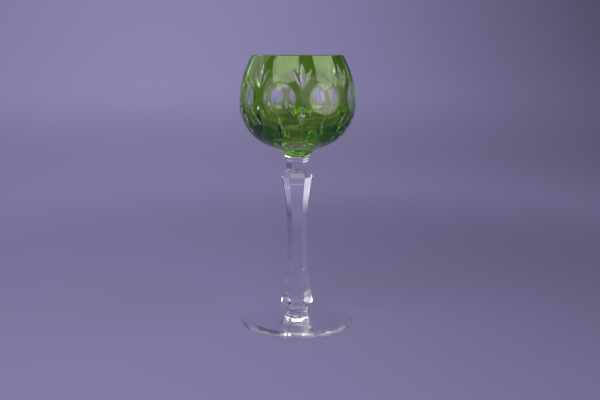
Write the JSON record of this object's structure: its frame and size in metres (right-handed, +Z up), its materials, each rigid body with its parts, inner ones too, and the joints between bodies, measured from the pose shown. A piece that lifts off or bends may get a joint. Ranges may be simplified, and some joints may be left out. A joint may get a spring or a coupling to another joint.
{
  "type": "roemer glass",
  "caption": "Stemmed wine glass with a green-cased cut crystal bowl, a facet-cut hexagonal stem and a round foot, for drinking wine.",
  "frame": {"origin": "middle of the flat ring under the foot, on the glass's axis", "axes": "+Z up along the glass's axis to the rim; -Y faces a leaf spray of the cut pattern"},
  "size_m": [0.0806, 0.0806, 0.19],
  "materials": {
    "crystal": "polished clear crystal",
    "green_overlay": "polished transparent green overlay glass"
  },
  "bodies": {
    "root": {"foot": "crystal", "stem": "crystal", "bowl_lining": "crystal", "colour_casing": "green_overlay"}
  },
  "joints": []
}
